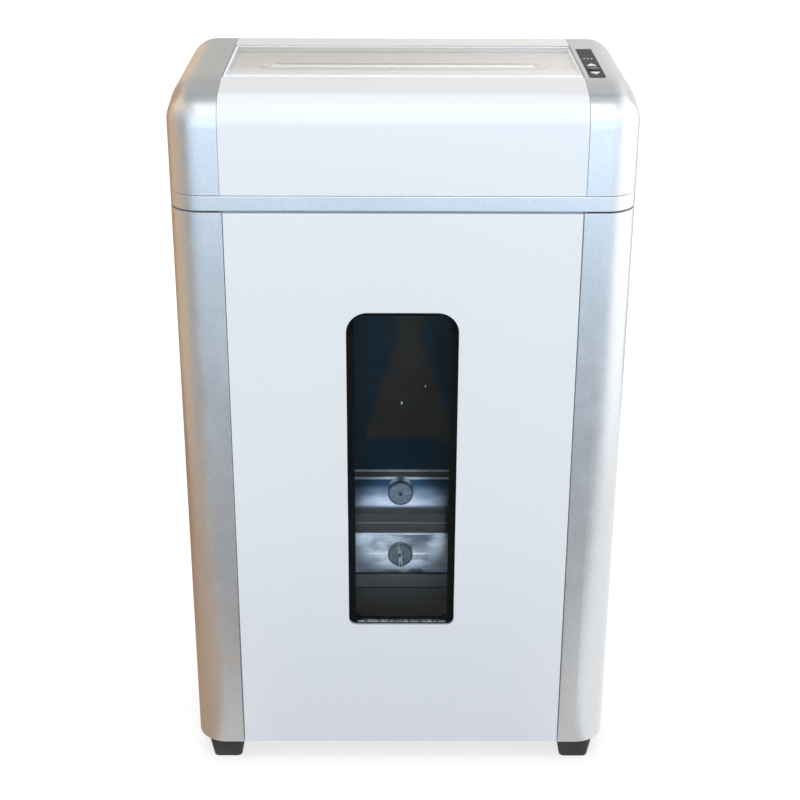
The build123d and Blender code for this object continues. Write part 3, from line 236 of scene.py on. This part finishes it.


# painted highlight: the upper ledge is painted pale at its foot, the more so where it faces up; the lower ledge is
# painted pale all over with a pale line along its foot; and each lip carries a pale line
highlight_patches = k.math("MULTIPLY", k.math("SUBTRACT", clouds, 0.5), 0.55)
upward_highlight = k.remap(k.math("ADD", up, highlight_patches), 0.14, 0.94, 0.05, 0.82, smooth=True)
upward_highlight = both(upward_highlight, k.remap(off_mid, 0.010, 0.050, 1.08, 0.60), k.remap(x, 0.014, 0.038, 1.0, 0.74))
even = k.remap(k.math("ADD", clouds, k.math("MULTIPLY", up, 0.25)), 0.30, 0.85, 0.24, 0.78)
even = both(even, k.remap(k.math("ABSOLUTE", k.math("SUBTRACT", x, 0.021)), 0.004, 0.018, 0.62, 1.0), k.remap(off_mid, 0.028, 0.044, 1.0, 1.9))
wavy = k.math("ADD", z, k.math("MULTIPLY", k.math("SUBTRACT", k.noise(34.0, 2.0, 0.5, stretch=(1.0, 0.1, 0.1)), 0.5), 0.010))
foot = both(k.remap(wavy, 0.0812, 0.0826, 0.0, 1.0), k.remap(wavy, 0.0866, 0.0890, 1.0, 0.0))
lips = k.math("ADD", k.math("ADD", band(0.1891, 0.1914, 0.0003), band(0.1794, 0.1822, 0.0005)),
              k.math("ADD", band(0.1140, 0.1166, 0.0004), band(0.0927, 0.0942, 0.0003)))
lips = both(lips, at_back, k.remap(k.noise(45.0, 2.0, 0.5, stretch=(1.0, 0.2, 0.2)), 0.35, 0.6, 0.70, 1.0))
first = both(at_back, band(0.1543, 0.1800, 0.0012), upward_highlight)
second = both(at_back, band(0.0824, 0.1160, 0.0009), k.math("MAXIMUM", even, foot))
dust_and_highlight = k.math("MAXIMUM", k.math("ADD", first, second), lips, clamp=True)

# painted light: the two bosses' faces are painted lit grey, the upper one lighter, with a darker rim and a dark centre
# dot; a pale painted glint streaks down the lower boss
r1, r2 = from_axis(0.1695), from_axis(0.0970)
near = k.math("MINIMUM", r1, r2)
boss = both(k.remap(near, 0.01295, 0.0132, 1.0, 0.0), k.remap(y, 0.0985, 0.0990, 1.0, 0.0), at_back)
face = k.math("MULTIPLY", k.remap(near, 0.0108, 0.0125, 1.0, 0.15), k.remap(near, 0.0016, 0.0026, 0.1, 1.0))
streak = k.remap(k.noise(420.0, 2.0, 0.5, stretch=(1.0, 1.0, 0.12)), 0.45, 0.7, 0.0, 1.0)
streak = both(streak, k.remap(off_mid, 0.001, 0.004, 1.0, 0.12), k.remap(z, 0.12, 0.13, 1.0, 0.0))
knob = k.mix(k.math("MULTIPLY", face, k.remap(fine, 0.3, 0.7, 0.6, 1.0)), (0.022, 0.024, 0.028), k.mix(k.remap(z, 0.125, 0.135, 0.0, 1.0), (0.125, 0.145, 0.165), (0.18, 0.22, 0.265)))
knob = k.mix(streak, knob, (0.44, 0.47, 0.50))

# painted light: inside the window the black bin is painted in the tones it shows when lit through the pane: brown-grey
# walls that turn darker grey from z 0.2 m down to 0.12 m, a pale floor below z 0.074 m, a navy bell above the upper
# ledge, navy over that ledge, and two thin lighter lines
brown = k.mix(k.remap(k.noise(9.0, 3.0, 0.6), 0.35, 0.65, 0.0, 1.0), (0.078, 0.070, 0.058), (0.098, 0.088, 0.072))
brown = k.mix(k.remap(z, 0.120, 0.200, 1.0, 0.0), brown, (0.056, 0.054, 0.052))
brown = k.mix(k.remap(z, 0.074, 0.080, 1.0, 0.0), brown, k.mix(at_back, (0.84, 0.82, 0.785), (0.72, 0.70, 0.665)))
ripple = k.math("MULTIPLY", k.math("SUBTRACT", k.noise(16.0, 3.0, 0.6), 0.5), 0.022)
reach = k.math("SUBTRACT", k.math("ABSOLUTE", k.math("SUBTRACT", x, 0.008)), k.remap(z, 0.240, 0.345, 0.042, 0.010))
navy = k.remap(k.math("ADD", reach, ripple), -0.004, 0.007, 0.0, 1.0, smooth=True)
arch = k.math("ADD", z, k.math("MULTIPLY", k.math("MULTIPLY", x, x), 2.2))
navy = k.math("MAXIMUM", navy, k.remap(arch, 0.2260, 0.2310, 1.0, 0.0))
navy = both(navy, k.remap(z, 0.186, 0.192, 0.0, 1.0))
dark = k.mix(navy, brown, (0.009, 0.058, 0.098))
dark = k.mix(both(at_back, band(0.1543, 0.1800, 0.0012)), dark, (0.040, 0.085, 0.150))
dark = k.mix(k.math("ADD", band(0.1276, 0.1285, 0.0003), band(0.0490, 0.0503, 0.0003), clamp=True), dark, (0.20, 0.185, 0.175))
pale = k.mix(k.remap(fine, 0.35, 0.65, 0.0, 1.0), (0.70, 0.78, 0.88), (0.90, 0.94, 0.98))
blue = k.mix(k.remap(dust_and_highlight, 0.0, 0.55, 0.0, 1.0), (0.11, 0.20, 0.32), pale)
inside = both(k.remap(off_mid, 0.1346, 0.1349, 1.0, 0.0), k.remap(z, 0.0484, 0.0488, 0.0, 1.0), k.remap(y, 0.1076, 0.1080, 1.0, 0.0), k.remap(z, 0.385, 0.425, 1.0, 0.0, smooth=True))
inside = k.math("MULTIPLY", inside, k.math("MAXIMUM", at_back, k.remap(z, 0.0800, 0.0840, 1.0, 0.0)))
# painted light: the ledge highlights, the lit boss faces and these tones together, kept to the inside seen through the
# window; elsewhere the bin stays plain black
painted_interior_light = k.mix(boss, k.mix(k.remap(dust_and_highlight, 0.0, 0.10, 0.0, 1.0), dark, k.mix(dust_and_highlight, dark, blue)), knob)
plain = k.mix(k.remap(clouds, 0.3, 0.7, 0.0, 1.0), (0.014, 0.014, 0.015), (0.024, 0.024, 0.026))
k.set(Base_Color=k.mix(inside, plain, painted_interior_light), IOR=1.5, Coat_Weight=0.3, Coat_Roughness=0.1)
k.set(Roughness=k.math("ADD", k.remap(k.noise(50.0, 3.0, 0.6), 0.3, 0.7, 0.16, 0.26), k.remap(inside, 0.0, 1.0, 0.24, 0.0)))
k.set(Normal=k.bump(k.noise(26.0, 2.0, 0.5, stretch=(1.0, 1.0, 0.6)), 0.35, 0.0008))
M["bin_black"] = k

M["bezel"] = plastic("bezel_black", (0.003, 0.0035, 0.004), (0.005, 0.0055, 0.006), (0.45, 0.6), 1200.0, 0.00006, broad=20.0)
M["bezel"].set(Specular_IOR_Level=0.06)
k = M["frame_grey"] = plastic("frame_grey", (0.62, 0.65, 0.69), (0.70, 0.73, 0.77), (0.45, 0.6), 900.0, 0.00008, broad=16.0)
x, y, z = k.xyz()
# painted light: the frame's front and side edges at the top glow faintly bluish, so the gap under the collar reads
# lighter
glowing_rim = k.math("MAXIMUM", k.remap(y, -0.1150, -0.1130, 1.0, 0.0), k.remap(k.math("ABSOLUTE", x), 0.1780, 0.1800, 0.0, 1.0))
glowing_rim = k.math("MULTIPLY", glowing_rim, k.remap(z, 0.5380, 0.5390, 0.0, 1.0))
k.set(Emission_Color=k.mix(glowing_rim, (0.0, 0.0, 0.0), (0.13, 0.15, 0.19)), Emission_Strength=1.0)

M["rubber"] = plastic("rubber_black", (0.012, 0.012, 0.013), (0.026, 0.026, 0.027), (0.62, 0.78), 800.0, 0.0002, broad=40.0)
M["steel"] = metal("rolled_steel", (0.50, 0.51, 0.53), (0.66, 0.67, 0.69), (0.24, 0.40), (1.0, 6.0, 1.0))
M["zinc"] = metal("zinc_plate", (0.46, 0.47, 0.49), (0.62, 0.63, 0.65), (0.22, 0.36), (1.0, 1.0, 1.0), scale=220.0)
M["cutter_steel"] = metal("hardened_steel", (0.20, 0.205, 0.215), (0.34, 0.345, 0.36), (0.26, 0.42), (0.4, 4.0, 4.0), scale=140.0)
M["rotor"] = metal("rotor_core", (0.26, 0.19, 0.13), (0.42, 0.33, 0.24), (0.34, 0.48), (9.0, 1.0, 1.0), scale=160.0)
M["bronze"] = metal("sintered_bronze", (0.38, 0.26, 0.11), (0.52, 0.38, 0.18), (0.34, 0.5), (1.0, 1.0, 1.0), scale=500.0)
M["nylon"] = plastic("natural_nylon", (0.70, 0.68, 0.60), (0.77, 0.75, 0.67), (0.36, 0.48), 700.0, 0.00006, broad=30.0)
M["stripper"] = plastic("filled_nylon", (0.035, 0.035, 0.038), (0.055, 0.055, 0.06), (0.5, 0.62), 900.0, 0.0001, broad=30.0)
M["components"] = plastic("component_moulding", (0.03, 0.03, 0.036), (0.06, 0.06, 0.07), (0.34, 0.5), 900.0, 0.00006, broad=60.0)
M["key_white"] = plastic("keycap_white", (0.84, 0.85, 0.86), (0.90, 0.91, 0.92), (0.22, 0.32), 1800.0, 0.00002, broad=120.0)
M["key_dark"] = plastic("keycap_black", (0.020, 0.020, 0.022), (0.034, 0.034, 0.037), (0.24, 0.36), 1800.0, 0.00003, broad=120.0)

k = Mat("board_laminate")
tracks = k.cells(260.0, "Distance", "DISTANCE_TO_EDGE")
k.set(Base_Color=k.mix(k.remap(tracks, 0.02, 0.08, 0.0, 1.0), (0.10, 0.36, 0.20), (0.035, 0.17, 0.085)), IOR=1.5)
k.set(Roughness=k.remap(k.noise(120.0), 0.3, 0.7, 0.3, 0.45), Normal=k.bump(tracks, 0.2, 0.00008))
M["board"] = k

k = plastic("strip_satin", (0.016, 0.0155, 0.015), (0.030, 0.029, 0.028), (0.42, 0.52), 1500.0, 0.00002, broad=60.0, edge=0.0006)
k.set(Specular_IOR_Level=0.18)
M["strip"] = k

k = plastic("lamp_lens", (0.62, 0.64, 0.63), (0.78, 0.80, 0.79), (0.2, 0.3), 2200.0, 0.00003, broad=300.0)
M["light_guide"] = k


def pane(name, tint, dust_and_highlight, edge=None, haze=(0.6, 0.62, 0.65), shine=0.045):
    """Clear or smoked sheet: tinted see-through body with a polished skin, and a little dust."""
    k = Mat(name)
    k.t.nodes.remove(k.b)
    body = k.n("ShaderNodeBsdfTransparent")
    body.inputs["Color"].default_value = (*tint, 1.0)
    skin = k.n("ShaderNodeBsdfPrincipled")
    skin.inputs["Base Color"].default_value = (1.0, 1.0, 1.0, 1.0)
    skin.inputs["Metallic"].default_value = 1.0
    k.link(k.remap(k.noise(40.0, 3.0, 0.6), 0.3, 0.7, 0.02, 0.05), skin.inputs["Roughness"])
    tilt = k.n("ShaderNodeLayerWeight")
    tilt.inputs["Blend"].default_value = 0.5
    steep = k.math("POWER", tilt.outputs["Facing"], 5.0)
    glass = k.n("ShaderNodeMixShader")
    k.link(k.remap(steep, 0.0, 1.0, shine, 1.0), glass.inputs[0])
    k.link(body.outputs[0], glass.inputs[1])
    k.link(skin.outputs[0], glass.inputs[2])
    film = k.n("ShaderNodeBsdfPrincipled")
    film.inputs["Base Color"].default_value = (*haze, 1.0)
    film.inputs["Roughness"].default_value = 0.5
    specks = k.remap(k.cells(420.0, "Distance"), 0.05, 0.16, 1.0, 0.0)
    patchy = k.remap(k.noise(18.0, 4.0, 0.7), 0.45, 0.75, 0.0, 1.0)
    amount = k.math("MULTIPLY", k.math("ADD", k.math("MULTIPLY", specks, patchy), k.math("MULTIPLY", patchy, 0.15)), dust_and_highlight, clamp=True)
    if edge is not None:
        amount = k.math("MAXIMUM", amount, edge(k))
    whole = k.n("ShaderNodeMixShader")
    k.link(amount, whole.inputs[0])
    k.link(glass.outputs[0], whole.inputs[1])
    k.link(film.outputs[0], whole.inputs[2])
    k.link(whole.outputs[0], k.out.inputs["Surface"])
    return k


def flap_edges(k):
    """Painted highlight: the flap's cut edges are painted white, the left edge more than the right. The white film
    also thickens towards the front.
    """
    x, y, z = k.xyz()
    side = k.math("MAXIMUM", k.remap(x, -0.1452, -0.1464, 0.0, 0.97), k.remap(x, 0.1458, 0.1468, 0.0, 0.55))
    front = k.remap(y, -0.0690, -0.0665, 1.0, 0.0)
    back = both_of(k, k.remap(y, 0.0440, 0.0446, 0.0, 0.9), k.remap(y, 0.0470, 0.0476, 1.0, 0.0))
    haze = k.remap(y, -0.030, -0.066, 0.0, 0.34, smooth=True)
    return k.math("MAXIMUM", k.math("MAXIMUM", side, front), k.math("MAXIMUM", back, haze))


def both_of(k, a, b):
    return k.math("MULTIPLY", a, b)


def pane_edges(k):
    """Glints along the foot of the window pane, and two specks on it."""
    x, y, z = k.xyz()
    dash = k.remap(k.noise(420.0, 3.0, 0.7, stretch=(1.0, 0.1, 1.0)), 0.36, 0.62, 0.05, 1.0)
    foot = both_of(k, k.remap(z, 0.1518, 0.1522, 0.0, 1.0), k.remap(z, 0.1530, 0.1538, 1.0, 0.0))
    foot = both_of(k, foot, k.remap(k.math("ABSOLUTE", x), 0.0385, 0.0410, 1.0, 0.0))
    out = k.math("MULTIPLY", both_of(k, foot, dash), 0.5)
    for px, pz, r in ((-0.0004, 0.3703, 0.0012), (0.0198, 0.3860, 0.0008)):
        dx, dz = k.math("SUBTRACT", x, px), k.math("SUBTRACT", z, pz)
        d = k.math("SQRT", k.math("ADD", k.math("MULTIPLY", dx, dx), k.math("MULTIPLY", dz, dz)))
        out = k.math("MAXIMUM", out, k.remap(d, r * 0.4, r, 0.30, 0.0))
    return out


M["clear_flap"] = pane("clear_flap", (0.985, 0.975, 0.962), 0.10, edge=flap_edges, haze=(0.88, 0.92, 0.97))
M["smoked_pane"] = pane("smoked_pane", (0.955, 0.960, 0.965), 0.02, edge=pane_edges, haze=(0.80, 0.84, 0.88), shine=0.04)

slot_of = {s["node"]: s["material_slot"] for s in frame["record"]["subparts"]}
for name, obj in N.items():
    key = slot_of[name]
    key = {"control_strip": "strip", "window_bezel": "bezel", "top_frame": "frame_grey"}.get(name, key)
    obj.data.materials.clear()
    obj.data.materials.append(M[key].m)


# ------------------------------------------------------------------ stage, light and camera
def sheet_mesh(name, corners, material):
    me = bpy.data.meshes.new(name)
    me.from_pydata(corners, [], [tuple(range(len(corners)))])
    me.materials.append(material)
    ob = bpy.data.objects.new(name, me)
    SCENE.collection.objects.link(ob)
    return ob


k = Mat("studio_floor")
k.set(Base_Color=k.mix(k.noise(3.0, 3.0, 0.5), (0.40, 0.396, 0.389), (0.42, 0.416, 0.409)), Roughness=0.8, Specular_IOR_Level=0.0, Emission_Color=(1.0, 0.99, 0.975, 1.0), Emission_Strength=0.70)
sheet_mesh("floor", [(-9, -9, 0), (9, -9, 0), (9, 12, 0), (-9, 12, 0)], k.m)


def card(name, corners, colour, strength, fade=None, ramp=None):
    """A reflector that only shows in gloss. fade = (axis, from, to, end colour) blends its colour across its
    face, and ramp = (axis, from, to, low, high) its strength."""
    k = Mat(name)
    k.t.nodes.remove(k.b)
    e = k.n("ShaderNodeEmission")
    e.inputs["Color"].default_value = (*colour, 1.0)
    e.inputs["Strength"].default_value = strength
    if fade:
        axis, a, b, end = fade
        k.link(k.mix(k.remap(k.xyz()[axis], a, b, 0.0, 1.0, smooth=True), colour, end), e.inputs["Color"])
    if ramp:
        axis, a, b, lo, hi = ramp
        k.link(k.remap(k.xyz()[axis], a, b, strength * lo, strength * hi, smooth=True), e.inputs["Strength"])
    k.link(e.outputs[0], k.out.inputs["Surface"])
    ob = sheet_mesh(name, corners, k.m)
    ob.visible_camera = False
    ob.visible_diffuse = False
    ob.visible_shadow = False
    ob.visible_transmission = False
    return ob


def lamp(name, place, aim, size, power, colour=(1, 1, 1), glossy=True):
    li = bpy.data.lights.new(name, "AREA")
    li.shape = "RECTANGLE"
    li.size, li.size_y = size
    li.energy = power
    li.color = colour
    ob = bpy.data.objects.new(name, li)
    ob.location = place
    ob.rotation_mode = "QUATERNION"
    ob.rotation_quaternion = (Vector(aim) - Vector(place)).to_track_quat("-Z", "Y")
    ob.visible_camera = False
    ob.visible_glossy = glossy
    SCENE.collection.objects.link(ob)
    return ob


lamp("key", (0.0, -1.0, 2.4), (0, -0.12, 0.5), (1.8, 0.9), 6.0, (0.93, 0.97, 1.0), glossy=False)
lamp("front", (0.1, -2.1, 0.95), (0, 0, 0.40), (1.1, 0.6), 16.5, (0.66, 0.84, 1.0), glossy=False)
lamp("overhead", (0.0, -0.2, 3.4), (0, -0.2, 0.0), (4.5, 3.0), 48.0, (1.0, 0.957, 0.900), glossy=False)
lamp("back_floor", (0.0, 4.0, 3.2), (0, 4.0, 0.0), (6.0, 4.0), 150.0, (1.0, 0.99, 0.98), glossy=False)

spot = bpy.data.lights.new("window_spot", "SPOT")
spot.energy, spot.color = 156.0, (0.78, 0.90, 1.0)
spot.spot_size, spot.spot_blend, spot.shadow_soft_size = math.radians(3.42), 0.35, 0.01
spot_ob = bpy.data.objects.new("window_spot", spot)
spot_ob.location = (0.0, -1.45, 0.95)
spot_ob.rotation_mode = "QUATERNION"
spot_ob.rotation_quaternion = Vector((0.0, 1.55, -0.817)).to_track_quat("-Z", "Y")
spot_ob.visible_glossy = False
SCENE.collection.objects.link(spot_ob)

card("warm_wall", [(-0.87, 0.05, 0.0), (-0.87, 0.05, 0.72), (-0.80, -0.8, 0.72), (-0.80, -0.8, 0.0)], (0.38, 0.345, 0.31), 1.0, (1, -0.56, -0.10, (0.78, 0.53, 0.30)))
card("pale_wall", [(-0.87, 0.05, 0.72), (-0.87, 0.05, 1.2), (-0.80, -0.8, 1.2), (-0.80, -0.8, 0.72)], (0.46, 0.44, 0.42), 1.0, (1, -0.56, -0.10, (0.70, 0.62, 0.54)), (2, 0.72, 1.10, 1.0, 1.5))
card("warm_turn", [(-0.8967, 0.35, 0.0), (-0.8967, 0.35, 1.2), (-0.87, 0.05, 1.2), (-0.87, 0.05, 0.0)], (0.82, 0.54, 0.29), 1.0, (1, 0.08, 0.34, (0.80, 0.47, 0.21)), (2, 0.55, 1.10, 1.0, 1.9))
card("warm_streak", [(-0.95, 0.95, 0.0), (-0.95, 0.95, 1.2), (-0.8967, 0.35, 1.2), (-0.8967, 0.35, 0.0)], (0.80, 0.47, 0.21), 1.0, (1, 0.42, 0.75, (0.38, 0.18, 0.05)), (2, 0.55, 1.10, 1.0, 1.9))
card("warm_end", [(-0.95, 1.9, 0.0), (-0.95, 1.9, 1.2), (-0.95, 0.95, 1.2), (-0.95, 0.95, 0.0)], (0.38, 0.18, 0.05), 1.0)
card("warm_floor", [(-0.95, 1.6, 0.002), (-0.193, 1.6, 0.002), (-0.193, -0.35, 0.002), (-0.80, -0.8, 0.002)], (0.64, 0.40, 0.20), 0.82, (1, -0.22, 0.40, (0.38, 0.13, 0.0)))
card("white_wall", [(0.95, -1.2, 0.0), (0.95, -1.2, 1.2), (0.95, 0.7, 1.2), (0.95, 0.7, 0.0)], (0.50, 0.52, 0.54), 2.0, (1, -1.1, -0.45, (0.97, 0.99, 1.0)), (2, 0.0, 0.5, 0.86, 1.0))
card("white_floor", [(0.193, -0.35, 0.002), (0.95, -1.2, 0.002), (0.95, 0.6, 0.002), (0.193, 0.6, 0.002)], (0.52, 0.52, 0.52), 1.17, (1, -0.80, -0.25, (1.0, 0.985, 0.96)))
card("rear_floor", [(0.1, 0.6, 0.002), (2.0, 0.6, 0.002), (2.0, 3.0, 0.002), (0.1, 3.0, 0.002)], (0.80, 0.82, 0.85), 0.45)
card("near_floor", [(-2.0, -1.5, 0.0015), (2.0, -1.5, 0.0015), (2.0, -0.13, 0.0015), (-2.0, -0.13, 0.0015)], (0.72, 0.80, 0.88), 0.47, (1, -1.45, -0.5, (0.84, 0.76, 0.69)), (1, -0.42, -0.16, 0.84, 1.80))
card("far_floor", [(-5.0, -7.0, 0.0015), (5.0, -7.0, 0.0015), (5.0, -1.5, 0.0015), (-5.0, -1.5, 0.0015)], (0.70, 0.88, 1.08), 3.0, (1, -2.5, -1.92, (0.20, 0.235, 0.27)), (0, -0.45, 0.45, 0.74, 1.00))
card("far_wall", [(-5.0, -7.0, 0.0), (5.0, -7.0, 0.0), (5.0, -7.0, 4.6), (-5.0, -7.0, 4.6)], (0.74, 0.89, 1.0), 1.9)
card("pane_floor", [(-0.13, -1.9, 0.003), (0.13, -1.9, 0.003), (0.13, -0.13, 0.003), (-0.13, -0.13, 0.003)], (0.9, 0.95, 1.0), 0.06)
card("ridge_card", [(-2.0, -2.05, 1.72), (2.0, -2.05, 1.72), (2.0, -0.45, 2.98), (-2.0, -0.45, 2.98)], (0.94, 0.99, 1.0), 2.7, None, (0, -0.8, 0.1, 0.42, 1.0))
card("warm_high", [(-0.95, 1.3, 1.2), (-0.95, 1.3, 2.1), (-0.85, -0.8, 2.1), (-0.85, -0.8, 1.2)], (0.92, 0.82, 0.71), 1.0, None, (2, 1.2, 2.1, 1.2, 0.45))
card("white_high", [(0.95, -1.2, 1.2), (0.95, -1.2, 2.4), (0.95, 1.4, 2.4), (0.95, 1.4, 1.2)], (0.97, 0.985, 1.0), 1.0, None, (2, 1.2, 2.3, 1.9, 0.5))
card("warm_back", [(-2.2, 2.5, 0.0), (-0.55, 2.5, 0.0), (-0.55, 2.5, 1.15), (-2.2, 2.5, 1.15)], (1.0, 0.69, 0.42), 1.0, (0, -0.80, -0.56, (0.57, 0.545, 0.49)))
card("over_card", [(-2.0, -0.45, 2.98), (2.0, -0.45, 2.98), (2.0, 1.6, 3.2), (-2.0, 1.6, 3.2)], (0.98, 0.99, 1.0), 0.56, None, (0, -0.7, 0.7, 0.84, 1.25))
card("rear_card", [(-3.0, 3.0, 0.0), (3.0, 3.0, 0.0), (3.0, 3.0, 2.8), (-3.0, 3.0, 2.8)], (0.57, 0.545, 0.49), 1.0, (0, -0.3, 0.7, (0.88, 0.85, 0.82)))

world = bpy.data.worlds.new("studio")
world.use_nodes = True
world.node_tree.nodes["Background"].inputs["Color"].default_value = (0.97, 0.98, 1.0, 1.0)
world.node_tree.nodes["Background"].inputs["Strength"].default_value = 0.36
SCENE.world = world

cam_data = bpy.data.cameras.new("camera")
cam_data.lens = 71.574
cam_data.sensor_width = 36.0
cam_data.clip_start, cam_data.clip_end = 0.05, 60.0
cam = bpy.data.objects.new("camera", cam_data)
SCENE.collection.objects.link(cam)
pitch, yaw, roll = math.radians(23.869), math.radians(0.259), math.radians(-0.203)
ahead = Vector((math.cos(pitch) * math.sin(yaw), math.cos(pitch) * math.cos(yaw), -math.sin(pitch)))
flat_right = Vector((math.cos(yaw), -math.sin(yaw), 0.0))
down = ahead.cross(flat_right)
right = math.cos(roll) * flat_right + math.sin(roll) * down
low = -math.sin(roll) * flat_right + math.cos(roll) * down
cam.matrix_world = Matrix.Translation((-0.007557, -1.372993, 0.924713)) @ Matrix((
    (right.x, -low.x, -ahead.x, 0.0),
    (right.y, -low.y, -ahead.y, 0.0),
    (right.z, -low.z, -ahead.z, 0.0),
    (0.0, 0.0, 0.0, 1.0)))
SCENE.camera = cam

SCENE.view_settings.view_transform = "Standard"
SCENE.view_settings.look = "None"
